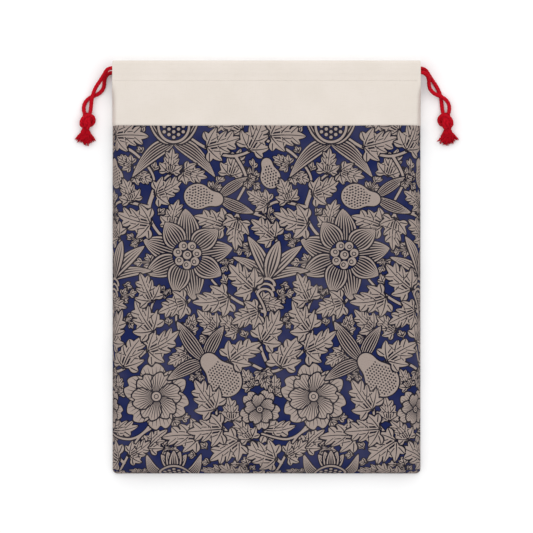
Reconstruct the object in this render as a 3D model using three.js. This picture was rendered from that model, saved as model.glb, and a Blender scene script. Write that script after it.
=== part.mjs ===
// Drawstring gift pouch: two printed cloth panels sewn into a flat bag, a cream
// cotton band round its mouth folded over into a casing front and back, and two
// red cotton cords that run through both casings and out at opposite sides,
// each finished with a knot and two frayed ends.
//
// Millimetres, +Z up. The pouch lies on its back on z = 0 with its mouth
// towards +Y. Every layer of the stack is drawn with the clearances that let
// the cords slide along X.
import * as THREE from 'three';

// ---- driving dimensions ----------------------------------------------------
const WIDTH = 229; // a 9 x 12 inch pouch
const LENGTH = 307;
const CLOTH = 0.6; // one layer, seam bulk included
const CORD = 2.75; // cord diameter
const MOUTH_GAP = 5.2; // between the two casings
const SEWN_GAP = 0.3; // between pieces that are sewn together
const BAND = 48.5; // depth of the cream band
const STITCH_DROP = 14.5; // top fold to the casing's stitch row
const CORNER = 3.5; // radius of the bottom corners
const SLOPE = 14; // width of the puffed edge along the seams
const ALLOWANCE = 8; // seam allowance left inside
const FLAP_SETBACK = 8; // how far the casing's inner layer stops short of each side
const SLIT = 22; // open side below the top edge, where the cords come out

// ---- heights through the stack ---------------------------------------------
const TUNNEL = CORD + 2 * SEWN_GAP;
const STACK = 4 * CLOTH + 2 * TUNNEL + MOUTH_GAP;
const BACK_CORD_Z = CLOTH + TUNNEL / 2;
const FRONT_CORD_Z = STACK - BACK_CORD_Z;

// ---- positions across the face ---------------------------------------------
const SIDE = WIDTH / 2;
const TOP = LENGTH / 2;
const BAND_Y = TOP - BAND;
const STITCH_Y = TOP - STITCH_DROP;
const HEM_Y = STITCH_Y - 4;
const TUNNEL_Y = STITCH_Y + 3; // where the tunnel is at its full height
const SLIT_Y = TOP - SLIT;
const FLAP_SIDE = SIDE - FLAP_SETBACK;
const FRONT_SIDE = SIDE - CLOTH / 2;
const FRONT_BOTTOM = -TOP + CLOTH / 2;
const LANE = 3.2; // spacing of the two cords that share a casing
const LANE_Y = TOP - STITCH_DROP / 2;
const UPPER_LANE = LANE_Y + LANE / 2;
const LOWER_LANE = LANE_Y - LANE / 2;

// ---- colours ---------------------------------------------------------------
const PRINT = { color: 0x5c5866, roughness: 0.9, metalness: 0 };
const CREAM = { color: 0xe9dfd5, roughness: 0.9, metalness: 0 };
const RED = { color: 0xbe1220, roughness: 0.8, metalness: 0 };
const THREAD = { color: 0xd9cfc4, roughness: 0.8, metalness: 0 };

const pouch = new THREE.Group();
pouch.name = 'drawstring_gift_pouch';

function addPart(name, geometry, look) {
  const mesh = new THREE.Mesh(geometry, new THREE.MeshStandardMaterial(look));
  mesh.name = name;
  pouch.add(mesh);
}

// ---- closed bodies from grids of points ------------------------------------

// Six times the volume inside: positive when the faces point outwards.
function signedVolume(points, faces) {
  let sum = 0;
  for (const [a, b, c] of faces) {
    sum += points[a].dot(new THREE.Vector3().crossVectors(points[b], points[c]));
  }
  return sum;
}

function bodyFromFaces(points, faces) {
  const outward = signedVolume(points, faces) > 0;
  const index = faces.flatMap(([a, b, c]) => (outward ? [a, b, c] : [a, c, b]));
  const geometry = new THREE.BufferGeometry();
  geometry.setAttribute(
    'position',
    new THREE.Float32BufferAttribute(points.flatMap((p) => p.toArray()), 3),
  );
  geometry.setIndex(index);
  geometry.computeVertexNormals();
  return geometry;
}

// A sheet of cloth: grid[row][column] is its middle surface, and the body is
// that surface thickened equally to both sides, with its four edges closed.
function clothBody(grid, thickness) {
  const rows = grid.length;
  const columns = grid[0].length;
  const clamp = (i, count) => Math.max(0, Math.min(count - 1, i));
  const at = (r, c) => grid[clamp(r, rows)][clamp(c, columns)];
  const above = [];
  const below = [];
  for (let r = 0; r < rows; r += 1) {
    for (let c = 0; c < columns; c += 1) {
      const along = at(r + 1, c).clone().sub(at(r - 1, c));
      const across = at(r, c + 1).clone().sub(at(r, c - 1));
      const normal = across.cross(along).normalize().multiplyScalar(thickness / 2);
      above.push(at(r, c).clone().add(normal));
      below.push(at(r, c).clone().sub(normal));
    }
  }
  const faces = [];
  const quad = (a, b, c, d) => faces.push([a, b, c], [a, c, d]);
  const up = (r, c) => r * columns + c;
  const down = (r, c) => rows * columns + r * columns + c;
  for (let r = 0; r < rows - 1; r += 1) {
    for (let c = 0; c < columns - 1; c += 1) {
      quad(up(r, c), up(r, c + 1), up(r + 1, c + 1), up(r + 1, c));
      quad(down(r, c), down(r + 1, c), down(r + 1, c + 1), down(r, c + 1));
    }
    quad(up(r, 0), up(r + 1, 0), down(r + 1, 0), down(r, 0));
    const last = columns - 1;
    quad(up(r + 1, last), up(r, last), down(r, last), down(r + 1, last));
  }
  for (let c = 0; c < columns - 1; c += 1) {
    quad(up(0, c + 1), up(0, c), down(0, c), down(0, c + 1));
    const last = rows - 1;
    quad(up(last, c), up(last, c + 1), down(last, c + 1), down(last, c));
  }
  return bodyFromFaces([...above, ...below], faces);
}

// A body through a row of closed rings with the same number of points.
function loftBody(rings) {
  const sides = rings[0].length;
  const points = rings.flat();
  const faces = [];
  for (let r = 0; r < rings.length - 1; r += 1) {
    for (let i = 0; i < sides; i += 1) {
      const j = (i + 1) % sides;
      const a = r * sides + i;
      const b = r * sides + j;
      faces.push([a, b, b + sides], [a, b + sides, a + sides]);
    }
  }
  const middle = (ring) =>
    ring.reduce((sum, p) => sum.add(p), new THREE.Vector3()).divideScalar(ring.length);
  const first = points.push(middle(rings[0])) - 1;
  const last = points.push(middle(rings[rings.length - 1])) - 1;
  const end = (rings.length - 1) * sides;
  for (let i = 0; i < sides; i += 1) {
    const j = (i + 1) % sides;
    faces.push([first, j, i], [last, end + i, end + j]);
  }
  return bodyFromFaces(points, faces);
}

// A round cord along a path of points.
function cordBody(points, steps) {
  const section = new THREE.Shape();
  const sides = 8;
  for (let i = 0; i < sides; i += 1) {
    const angle = ((i + 0.5) / sides) * 2 * Math.PI;
    const x = (CORD / 2) * Math.cos(angle);
    const y = (CORD / 2) * Math.sin(angle);
    if (i === 0) section.moveTo(x, y);
    else section.lineTo(x, y);
  }
  section.closePath();
  const path =
    points.length === 2
      ? new THREE.LineCurve3(points[0], points[1])
      : new THREE.CatmullRomCurve3(points, false, 'centripetal');
  return new THREE.ExtrudeGeometry(section, { steps, bevelEnabled: false, extrudePath: path });
}

// ---- the shape of the lying pouch -------------------------------------------

// 0 at a seam, 1 where the puffed edge has reached the flat of the pouch.
function rise(distance) {
  const u = Math.min(Math.max(distance / SLOPE, 0), 1);
  return 1 - (1 - u) ** 2;
}

// How far the front cloth is pulled down towards the seams. Above the slit's
// lower end it is free of the back, and climbs to the casing's height.
function frontDrop(x, y) {
  const climb = THREE.MathUtils.smoothstep(y, SLIT_Y, TUNNEL_Y);
  const seamDrop = STACK - 2 * CLOTH - SEWN_GAP;
  const lift = rise(FRONT_SIDE - Math.abs(x)) * rise(y - FRONT_BOTTOM);
  return seamDrop * (1 - climb) * (1 - lift);
}

// Half the sheet's width at y, less the rounding of the bottom corners.
function halfWidth(side, bottom, y) {
  const up = Math.min(Math.max(y - bottom, 0), CORNER);
  return side - (CORNER - Math.sqrt(CORNER ** 2 - (CORNER - up) ** 2));
}

// Distances in from each side at which a sheet has a column of points.
const SLOPE_COLUMNS = [0, 1.2, 2.8, 4.8, 7.2, 10.2, SLOPE];
const INNER_COLUMNS = [38, 76];
const sheetColumns = [...SLOPE_COLUMNS, ...INNER_COLUMNS];

function columnsOf(half, offsets) {
  const left = offsets.map((d) => -half + d);
  return [...left, 0, ...left.map((x) => -x).reverse()];
}

// ---- printed panels -----------------------------------------------------------
const panelTop = BAND_Y - SEWN_GAP / 2;
const bottomRows = [0, 0.5, 1.4, CORNER, 6, 10, SLOPE];

function frontPanelGrid() {
  const rows = [...bottomRows.map((d) => FRONT_BOTTOM + d), -70, 0, 60, panelTop];
  return rows.map((y) => {
    const half = halfWidth(FRONT_SIDE, FRONT_BOTTOM, y);
    return columnsOf(half, sheetColumns).map((x) => {
      const z = STACK - CLOTH / 2 - frontDrop(x * (FRONT_SIDE / half), y);
      return new THREE.Vector3(x, y, z);
    });
  });
}

function backPanelGrid() {
  const rows = [0, 0.3, 0.9, 1.8, CORNER].map((d) => -TOP + d);
  return [...rows, panelTop].map((y) => {
    const half = halfWidth(SIDE, -TOP, y);
    return [-half, 0, half].map((x) => new THREE.Vector3(x, y, CLOTH / 2));
  });
}

addPart('front_print_panel', clothBody(frontPanelGrid(), CLOTH), PRINT);
addPart('back_print_panel', clothBody(backPanelGrid(), CLOTH), PRINT);

// ---- cream band, folded over at the top into the casing -------------------------
const foldRadius = (TUNNEL + CLOTH) / 2;
const foldY = TOP - CLOTH / 2 - foldRadius;
const FOLD_STEPS = 4; // from a face of the band to the fold's crest

// Stations along the fold between two angles, 0 on the outer face and 180
// where the inner layer starts. side is half the outer layer's width.
function foldStations(side, from, to) {
  const stations = [];
  for (let i = 0; i <= FOLD_STEPS; i += 1) {
    const degrees = THREE.MathUtils.lerp(from, to, i / FOLD_STEPS);
    const angle = THREE.MathUtils.degToRad(degrees);
    stations.push({
      y: foldY + foldRadius * Math.sin(angle),
      z: CLOTH / 2 + foldRadius * (1 - Math.cos(angle)),
      half: THREE.MathUtils.lerp(side, FLAP_SIDE, degrees / 180),
    });
  }
  return stations;
}

// Degrees by which each layer stops short of the crest, a sewn gap each.
const crestGap = THREE.MathUtils.radToDeg(SEWN_GAP / foldRadius);

// The outer layer, from the join with the print up to the fold's crest, drawn
// for the back of the pouch.
function outerLayer(side) {
  const ys = [BAND_Y + SEWN_GAP / 2, 118, SLIT_Y, HEM_Y, STITCH_Y, TUNNEL_Y];
  const flat = ys.map((y) => ({ y, z: CLOTH / 2, half: side }));
  return [...flat, ...foldStations(side, 0, 90 - crestGap)];
}

// The facing, from the crest down inside the pouch to its hem under the stitches.
function facingLayer(side) {
  const flapZ = CLOTH / 2 + 2 * foldRadius;
  const hemZ = CLOTH / 2 + CLOTH + 2 * SEWN_GAP;
  return [
    ...foldStations(side, 90 + crestGap, 180),
    { y: TUNNEL_Y, z: flapZ, half: FLAP_SIDE },
    { y: STITCH_Y, z: hemZ, half: FLAP_SIDE },
    { y: HEM_Y, z: hemZ, half: FLAP_SIDE },
  ];
}

// The front's layers are the back's turned over, and drop with the front cloth.
function layerBody(stations, isFront) {
  const grid = stations.map(({ y, z, half }) =>
    columnsOf(half, sheetColumns).map((x) => {
      const height = isFront ? STACK - z - frontDrop(x, y) : z;
      return new THREE.Vector3(x, y, height);
    }),
  );
  return clothBody(grid, CLOTH);
}

addPart('front_band', layerBody(outerLayer(FRONT_SIDE), true), CREAM);
addPart('front_casing_facing', layerBody(facingLayer(FRONT_SIDE), true), CREAM);
addPart('back_band', layerBody(outerLayer(SIDE), false), CREAM);
addPart('back_casing_facing', layerBody(facingLayer(SIDE), false), CREAM);

// ---- seams and stitching ---------------------------------------------------------

// A flat strip from corner to corner, thickened about the height z(x, y).
function strip(xs, ys, thickness, z) {
  const grid = ys.map((y) => xs.map((x) => new THREE.Vector3(x, y, z(x, y))));
  return clothBody(grid, thickness);
}

const allowanceThickness = 2 * CLOTH; // two layers, one from each panel
const allowanceZ = () => CLOTH + SEWN_GAP + allowanceThickness / 2;
const seamIn = 2; // from the pouch's edge to its line of sewing
for (const [name, sign] of [['left', -1], ['right', 1]]) {
  const xs = [SIDE - seamIn, SIDE - seamIn - ALLOWANCE].map((x) => sign * x);
  const ys = [-TOP + seamIn + CORNER, SLIT_Y - seamIn];
  addPart(`${name}_side_seam`, strip(xs, ys, allowanceThickness, allowanceZ), THREAD);
}
const bottomReach = SIDE - seamIn - ALLOWANCE - SEWN_GAP;
const bottomYs = [-TOP + seamIn, -TOP + seamIn + ALLOWANCE];
addPart('bottom_seam', strip([-bottomReach, bottomReach], bottomYs, allowanceThickness, allowanceZ), THREAD);

// The allowance where the band meets the print, pressed towards the print.
const flatSide = SIDE - SLOPE - seamIn;
const joinYs = [BAND_Y - ALLOWANCE, BAND_Y - SEWN_GAP];
const frontJoinZ = () => STACK - CLOTH - SEWN_GAP - CLOTH / 2;
const backJoinZ = () => CLOTH + SEWN_GAP + CLOTH / 2;
addPart('front_band_seam', strip([-flatSide, flatSide], joinYs, CLOTH, frontJoinZ), CREAM);
addPart('back_band_seam', strip([-flatSide, flatSide], joinYs, CLOTH, backJoinZ), CREAM);

// One row of thread closes each casing: seen from outside on the front, and
// from inside on the hem of the back.
const threadWidth = 0.8;
const threadHeight = 0.3;
const threadYs = [STITCH_Y - threadWidth, STITCH_Y];
const threadLift = SEWN_GAP / 2 + threadHeight / 2;
const threadXs = columnsOf(FLAP_SIDE, sheetColumns);
const frontThreadZ = (x, y) => STACK - frontDrop(x, y) + threadLift;
const backThreadZ = () => 2 * CLOTH + 2 * SEWN_GAP + threadLift;
addPart('front_casing_stitching', strip(threadXs, threadYs, threadHeight, frontThreadZ), THREAD);
addPart('back_casing_stitching', strip(threadXs, threadYs, threadHeight, backThreadZ), THREAD);

// ---- cords --------------------------------------------------------------------------

// The bight that carries a cord from the front casing round to the back one,
// inside the slit at the far side. sign is the side it turns at.
function bightPath(sign, frontY, backY) {
  const start = new THREE.Vector3(sign * (FLAP_SIDE + SEWN_GAP), frontY, FRONT_CORD_Z);
  const end = new THREE.Vector3(sign * (FLAP_SIDE + SEWN_GAP), backY, BACK_CORD_Z);
  const centre = start.clone().add(end).multiplyScalar(0.5);
  const arm = start.clone().sub(centre);
  const reach = SIDE - FLAP_SIDE - SEWN_GAP - CORD / 2 - CLOTH;
  const points = [];
  const pieces = 6;
  for (let i = 0; i <= pieces; i += 1) {
    const angle = (Math.PI * i) / pieces;
    const point = centre.clone().addScaledVector(arm, Math.cos(angle));
    point.x += sign * reach * Math.sin(angle);
    points.push(point);
  }
  return points;
}

// Tail routes as [outwards from the pouch's edge, down from the top edge], one from
// each lane of the casing, and the heights of the front and the back strand on them.
// The front strand comes down over the other one, and both meet at the knot.
const TAIL_GAP = 0.3;
const UPPER_ROUTE = [
  [1.8, 5.85],
  [3.2, 6.4],
  [4.3, 7.3],
  [5.2, 8.5],
  [6.0, 9.9],
  [6.9, 11.3],
  [8.1, 13.2],
  [9.5, 15.3],
  [11.0, 17.5],
  [12.4, 19.8],
  [13.6, 22.3],
  [14.6, 25.0],
  [15.4, 28.0],
  [15.8, 31.2],
  [16.1, 34.4],
  [16.5, 37.4],
  [17.1, 39.8],
];
const LOWER_ROUTE = [
  [1.8, 9.0],
  [3.2, 9.6],
  [4.4, 10.5],
  [5.3, 11.7],
  [5.9, 13.2],
  [6.2, 15.1],
  [6.3, 17.3],
  [6.7, 19.6],
  [7.7, 21.7],
  [9.3, 23.5],
  [11.6, 25.0],
  [14.6, 26.3],
  [17.6, 27.9],
  [20.0, 30.3],
  [21.3, 33.4],
  [21.4, 36.8],
  [20.6, 39.8],
];
const FRONT_HEIGHTS = [
  11.8, 11.3, 10.5, 9.6, 8.5, 7.3, 6.4, 5.7, 5.2,
  4.9, 4.7, 4.6, 4.5, 4.2, 3.8, 3.5, 3.4,
];
const BACK_HEIGHTS = [
  2.2, 2.0, 1.8, 1.65, 1.6, 1.55, 1.55, 1.55, 1.55,
  1.55, 1.55, 1.55, 1.55, 1.6, 2.0, 2.6, 3.0,
];

// Each tail starts at the mouth of its casing and ends at the knot.
function tailPath(sign, startY, startZ, heights) {
  const route = startY > LANE_Y ? UPPER_ROUTE : LOWER_ROUTE;
  const lead = new THREE.Vector3(sign * (SIDE + TAIL_GAP), startY, startZ);
  const rest = route.map(
    ([out, down], i) => new THREE.Vector3(sign * (SIDE + out), TOP - down, heights[i]),
  );
  return [lead, ...rest];
}

// ---- knots and frayed ends ------------------------------------------------------------
const KNOT = { out: 18.9, down: 45, halfX: 6.05, halfY: 4.75, halfZ: 3.9 };
const KNOT_Z = KNOT.halfZ + 0.2;

// Both strands tied in one overhand knot: a barrel with its wraps as low ridges.
function knotBody(sign) {
  const rings = [];
  const ringCount = 11;
  const sides = 20;
  for (let r = 1; r < ringCount; r += 1) {
    const along = -Math.cos((Math.PI * r) / ringCount);
    const width = Math.sqrt(1 - along ** 2);
    const ring = [];
    for (let i = 0; i < sides; i += 1) {
      const angle = (2 * Math.PI * i) / sides;
      const ridge = 1 - 0.07 * (1 - Math.cos(2 * angle + 5 * along)) * width;
      ring.push(
        new THREE.Vector3(
          sign * (SIDE + KNOT.out) + KNOT.halfX * width * ridge * Math.cos(angle),
          TOP - KNOT.down + KNOT.halfY * along,
          KNOT_Z + KNOT.halfZ * width * ridge * Math.sin(angle),
        ),
      );
    }
    rings.push(ring);
  }
  return loftBody(rings);
}

// A brush of loosened strands that leaves the knot and spreads over the floor.
// tip is its far end, as [outwards, down], and spread half its width there.
function frayedBody(sign, neck, tip, spread) {
  const sides = 12;
  const stations = [0, 0.2, 0.45, 0.7, 0.9, 1];
  const from = new THREE.Vector2(sign * (SIDE + neck[0]), TOP - neck[1]);
  const to = new THREE.Vector2(sign * (SIDE + tip[0]), TOP - tip[1]);
  const side = to.clone().sub(from).normalize().rotateAround(new THREE.Vector2(), Math.PI / 2);
  return loftBody(
    stations.map((s) => {
      const halfAcross = THREE.MathUtils.lerp(CORD / 2, spread, s ** 1.3) * (s === 1 ? 0.8 : 1);
      const halfHigh = THREE.MathUtils.lerp(CORD / 2, 1.9, s) * (s === 1 ? 0.7 : 1);
      const z = THREE.MathUtils.lerp(3.4, halfHigh + 0.2, Math.min(1, s * 1.6));
      const centre = from.clone().lerp(to, s);
      const ring = [];
      for (let i = 0; i < sides; i += 1) {
        const angle = (2 * Math.PI * i) / sides;
        const across = halfAcross * Math.cos(angle);
        ring.push(
          new THREE.Vector3(
            centre.x + side.x * across,
            centre.y + side.y * across,
            z + halfHigh * Math.sin(angle),
          ),
        );
      }
      return ring;
    }),
  );
}

// ---- one cord with everything on it -----------------------------------------------------
const RUN_STEPS = 4;
const BIGHT_STEPS = 10;
const TAIL_STEPS = 28;

// sign is the side where the cord's two ends come out.
function addCord(name, sign, frontLane, backLane) {
  const runStart = sign * SIDE;
  const runEnd = -sign * FLAP_SIDE;
  const runs = [
    ['front', frontLane, FRONT_CORD_Z, FRONT_HEIGHTS],
    ['back', backLane, BACK_CORD_Z, BACK_HEIGHTS],
  ];
  for (const [face, y, z, heights] of runs) {
    const line = [new THREE.Vector3(runStart, y, z), new THREE.Vector3(runEnd, y, z)];
    addPart(`${name}_${face}_run`, cordBody(line, RUN_STEPS), RED);
    addPart(`${name}_${face}_tail`, cordBody(tailPath(sign, y, z, heights), TAIL_STEPS), RED);
  }
  addPart(`${name}_bight`, cordBody(bightPath(-sign, frontLane, backLane), BIGHT_STEPS), RED);
  addPart(`${name}_knot`, knotBody(sign), RED);
  addPart(`${name}_frayed_end_outer`, frayedBody(sign, [22.1, 50.3], [24.4, 61.4], 3.9), RED);
  addPart(`${name}_frayed_end_inner`, frayedBody(sign, [18.8, 50.3], [16.6, 62.6], 3.9), RED);
}

addCord('left_cord', -1, UPPER_LANE, LOWER_LANE);
addCord('right_cord', 1, LOWER_LANE, UPPER_LANE);

export default pouch;
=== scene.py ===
"""Looks of the drawstring gift pouch: printed cotton, cream mouth band and red
twisted cords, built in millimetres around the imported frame."""

import math

import bpy
import numpy as np
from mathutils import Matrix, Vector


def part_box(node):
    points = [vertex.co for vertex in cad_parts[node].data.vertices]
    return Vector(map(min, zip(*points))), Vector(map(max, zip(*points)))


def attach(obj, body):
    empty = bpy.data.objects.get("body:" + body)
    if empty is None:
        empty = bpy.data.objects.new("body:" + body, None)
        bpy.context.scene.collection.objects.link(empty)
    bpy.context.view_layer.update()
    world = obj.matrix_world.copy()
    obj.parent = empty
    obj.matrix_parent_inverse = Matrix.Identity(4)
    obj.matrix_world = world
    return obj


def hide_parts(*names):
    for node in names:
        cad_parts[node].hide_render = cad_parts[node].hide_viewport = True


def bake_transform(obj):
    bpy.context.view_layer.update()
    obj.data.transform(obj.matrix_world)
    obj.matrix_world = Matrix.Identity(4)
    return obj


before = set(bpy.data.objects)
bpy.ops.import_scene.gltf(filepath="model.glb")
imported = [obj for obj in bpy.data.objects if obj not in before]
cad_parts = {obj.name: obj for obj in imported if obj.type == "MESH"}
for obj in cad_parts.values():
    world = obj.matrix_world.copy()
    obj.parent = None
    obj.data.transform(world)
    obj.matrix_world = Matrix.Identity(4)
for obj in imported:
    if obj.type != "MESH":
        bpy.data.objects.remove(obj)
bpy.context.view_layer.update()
MM = 0.001
TURN = 2 * math.pi


# ---- places and sizes, from the frame ----

def box_mm(node):
    low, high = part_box(node)
    return np.array(low) / MM, np.array(high) / MM


def middle_mm(node):
    low, high = box_mm(node)
    return (low + high) / 2


panel_low, panel_high = box_mm("back_print_panel")
band_low, band_high = box_mm("back_band")
facing_low, facing_high = box_mm("back_casing_facing")

SIDE = panel_high[0]  # half the pouch's width
TOP = band_high[1]
BOTTOM = panel_low[1]
BAND_Y = (band_low[1] + panel_high[1]) / 2  # the join of band and print
STACK = box_mm("front_band")[1][2]  # height of the front's outer face
STITCH_Y = middle_mm("back_casing_stitching")[1]
HEM_Y = facing_low[1]
SLIT_Y = box_mm("left_side_seam")[1][1] + 2  # where the open sides of the mouth begin
FACING_SIDE = facing_high[0]  # half the facings' width
TUNNEL_TOP = facing_high[2]  # height of the back facing's far side
CORD = 2.75  # the cord's thickness
CLOTH = 0.5  # the cloth's thickness
CORNER = 3.5  # radius of the bottom corners
SLOPE = 14  # how far in from a seam the front reaches its full height
SEAM_Z = 1.6  # height of the side and bottom seams
ROLL = 0.45  # how far each panel's outer face lies from the middle of the seam
STITCH_PITCH = 2.9


# ---- camera ----

LENS = 400.0
VIEW_WIDTH = 396.9  # of the floor, side to side of the picture
camera_data = bpy.data.cameras.new("camera")
camera_data.lens = LENS
camera_data.clip_end = 20
camera = bpy.data.objects.new("camera", camera_data)
camera_height = VIEW_WIDTH * LENS / camera_data.sensor_width
camera.location = (0, 0.5 * MM, camera_height * MM)
bpy.context.scene.collection.objects.link(camera)
bpy.context.scene.camera = camera


# ---- mesh helpers ----

def mesh_object(name, points, quads, attributes=None):
    """A smooth mesh from points in mm and quads, with float or vector attributes."""
    mesh = bpy.data.meshes.new(name)
    mesh.from_pydata(np.asarray(points, np.float32) * MM, [], quads, shade_flat=False)
    for key, values in (attributes or {}).items():
        values = np.asarray(values, np.float32)
        kind, slot = ("FLOAT", "value") if values.ndim == 1 else ("FLOAT_VECTOR", "vector")
        layer = mesh.attributes.new(key, kind, "POINT")
        layer.data.foreach_set(slot, values.ravel())
    mesh.update(calc_edges=True)
    mesh.validate()
    thing = bpy.data.objects.new(name, mesh)
    bpy.context.scene.collection.objects.link(thing)
    return thing


def grid_quads(rows, columns, wrap=False, start=0):
    """Quads of a grid of points; wrap joins the last column to the first."""
    r = np.arange(rows - 1)[:, None]
    c = np.arange(columns if wrap else columns - 1)[None, :]
    a = start + r * columns + c
    b = start + r * columns + (c + 1) % columns
    return np.stack([a, b, b + columns, a + columns], axis=-1).reshape(-1, 4)


def grid_normals(grid):
    """Unit normals of a grid of points."""
    along = np.gradient(grid, axis=0)
    across = np.gradient(grid, axis=1)
    normal = np.cross(across, along)
    return normal / np.maximum(np.linalg.norm(normal, axis=-1, keepdims=True), 1e-9)


def joined_object(name, attribute, parts):
    """One mesh from several lots of points, quads and values of an attribute."""
    points, quads, values = (np.concatenate(group) for group in zip(*parts))
    return mesh_object(name, points, quads, {attribute: values})


def thick_sheet(name, grid, cloth, thickness=CLOTH):
    """A closed sheet of cloth about its middle surface.

    cloth holds each point's place on the flat cloth."""
    rows, columns = grid.shape[:2]
    half = grid_normals(grid) * thickness / 2
    points = np.concatenate([(grid + half).reshape(-1, 3), (grid - half).reshape(-1, 3)])
    count = rows * columns
    upper = grid_quads(rows, columns)
    lower = grid_quads(rows, columns, start=count)[:, ::-1]
    index = np.arange(count).reshape(rows, columns)
    rim = np.concatenate([index[0], index[1:, -1], index[-1, -2::-1], index[-2:0:-1, 0]])
    after = np.roll(rim, -1)
    edge = np.stack([after, rim, rim + count, after + count], axis=-1)
    flat = np.concatenate([cloth.reshape(-1, 3)] * 2)
    return mesh_object(name, points, np.concatenate([upper, lower, edge]), {"cloth": flat})


def spline(points, steps):
    """A smooth curve through the points between the first and the last, with steps between each two."""
    curve = []
    for p0, p1, p2, p3 in zip(points, points[1:], points[2:], points[3:]):
        for u in np.linspace(0, 1, steps, endpoint=False):
            curve.append(0.5 * (
                2 * p1 + (p2 - p0) * u + (2 * p0 - 5 * p1 + 4 * p2 - p3) * u ** 2
                + (3 * p1 - p0 - 3 * p2 + p3) * u ** 3
            ))
    return curve


def smooth_path(points, spacing):
    """Points at an even spacing along a smooth curve through the given ones, and how far along they are."""
    points = np.asarray(points, float)
    padded = np.vstack([2 * points[0] - points[1], points, 2 * points[-1] - points[-2]])
    dense = np.array(spline(padded, 24) + [points[-1]])
    run = np.concatenate([[0], np.cumsum(np.linalg.norm(np.diff(dense, axis=0), axis=1))])
    count = max(int(round(run[-1] / spacing)), 2)
    stations = np.linspace(0, run[-1], count + 1)
    even = np.stack([np.interp(stations, run, dense[:, k]) for k in range(3)], axis=1)
    return even, stations


def path_frames(path):
    """Tangent, side and up at each point of a path, turning as little as they can."""
    tangent = np.gradient(path, axis=0)
    tangent /= np.linalg.norm(tangent, axis=1, keepdims=True)
    side = np.cross(tangent[0], (0, 0, 1.0))
    if np.linalg.norm(side) < 0.2:
        side = np.cross(tangent[0], (0, 1.0, 0))
    sides = []
    for t in tangent:
        side = side - t * side.dot(t)
        side = side / np.linalg.norm(side)
        sides.append(side)
    sides = np.array(sides)
    return tangent, sides, np.cross(sides, tangent)


# ---- twisted cord ----

LAY = 7.0  # length of cord in which a strand goes once round
STRANDS = 3
FULL = 1.10  # radius at a strand's crest, as a share of the cord's
GROOVE = 0.86  # radius at the bottom of a groove, as a share of the crest's


def cord_section(angle):
    """Radius of three laid strands, as a share of the crest's, at an angle from a strand's crest."""
    near = (angle + math.pi / STRANDS) % (TURN / STRANDS) - math.pi / STRANDS
    return GROOVE + (1 - GROOVE) * np.maximum(np.cos(near * STRANDS / 2), 0) ** 0.7


def cord_tube(path, stations, radius, sides=30, start=0, turn=0.0, taper=None, laid=True):
    """Points, quads and shading attribute of a cord along a path, ends closed to a point.

    A laid cord has its strands' grooves, and a fibre is plain."""
    tangent, side, up = path_frames(path)
    angle = np.linspace(0, TURN, sides, endpoint=False)[None, :]
    twist = TURN * stations[:, None] / LAY + turn
    section = cord_section(angle - twist) if laid else np.ones_like(angle - twist)
    reach = radius * section
    if taper is not None:
        reach = reach * taper[:, None]
    reach[0] = reach[-1] = 0.01
    ring = (
        path[:, None, :]
        + (reach * np.cos(angle))[..., None] * side[:, None, :]
        + (reach * np.sin(angle))[..., None] * up[:, None, :]
    )
    around = np.broadcast_to((angle - twist) / TURN, section.shape)
    along = np.broadcast_to(stations[:, None], section.shape)
    # how far out of a groove, 0 to 1; the cord's look paints shade in the grooves from it
    depth = (section - GROOVE) / (1 - GROOVE)
    yarn = np.stack([around, along, depth], axis=-1)
    quads = grid_quads(len(path), sides, wrap=True, start=start)
    return ring.reshape(-1, 3), quads, yarn.reshape(-1, 3)


def tubes_object(name, tubes):
    """One mesh from several tubes, each (path, stations, radius, options)."""
    parts, start = [], 0
    for path, stations, radius, options in tubes:
        parts.append(cord_tube(path, stations, radius, start=start, **options))
        start += len(parts[-1][0])
    return joined_object(name, "yarn", parts)


def with_ends(path, stations):
    """The path with its end points doubled, a hair apart, so that the caps are flat."""
    first = path[:1] - (path[1] - path[0]) * 1e-3
    last = path[-1:] + (path[-1] - path[-2]) * 1e-3
    return np.vstack([first, path, last]), np.concatenate([stations[:1], stations, stations[-1:]])


def cord_object(name, route, spacing=0.45, sides=30, before=0.0):
    """A cord along a route, with its path and length.

    before is the length of cord that its strands have already turned through."""
    path, stations = with_ends(*smooth_path(route, spacing))
    options = {"sides": sides, "turn": TURN * before / LAY}
    return tubes_object(name, [(path, stations, FULL * CORD / 2, options)]), path[1:-1], stations[-1]


# ---- the cords' routes, as in the part's source ----

LANES = [middle_mm(f"{cord}_front_run")[1] for cord in ("left_cord", "right_cord")]
JOIN = 4.0  # how far inside the casing a run and its tail meet
LEAD = 0.3  # how far a tail goes straight on past the pouch's edge, and a turn past the facing's
BIGHT_GAP = 0.6  # between a turn and the pouch's edge
# Outwards from the pouch's edge and down from its top edge, from each lane of the casing.
UPPER_ROUTE = [
    (1.8, 5.85), (3.2, 6.4), (4.3, 7.3), (5.2, 8.5), (6.0, 9.9), (6.9, 11.3),
    (8.1, 13.2), (9.5, 15.3), (11.0, 17.5), (12.4, 19.8), (13.6, 22.3), (14.6, 25.0),
    (15.4, 28.0), (15.8, 31.2), (16.1, 34.4), (16.5, 37.4), (17.1, 39.8),
]
LOWER_ROUTE = [
    (1.8, 9.0), (3.2, 9.6), (4.4, 10.5), (5.3, 11.7), (5.9, 13.2), (6.2, 15.1),
    (6.3, 17.3), (6.7, 19.6), (7.7, 21.7), (9.3, 23.5), (11.6, 25.0), (14.6, 26.3),
    (17.6, 27.9), (20.0, 30.3), (21.3, 33.4), (21.4, 36.8), (20.6, 39.8),
]
# The heights of a tail's points, from the front or the back casing.
HEIGHTS = {
    "front": (11.8, 11.3, 10.5, 9.6, 8.5, 7.3, 6.4, 5.7, 5.2, 4.9, 4.7, 4.6, 4.5, 4.2, 3.8, 3.5, 3.4),
    "back": (2.2, 2.0, 1.8, 1.65, 1.6, 1.55, 1.55, 1.55, 1.55, 1.55, 1.55, 1.55, 1.55, 1.6, 2.0, 2.6, 3.0),
}


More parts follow.
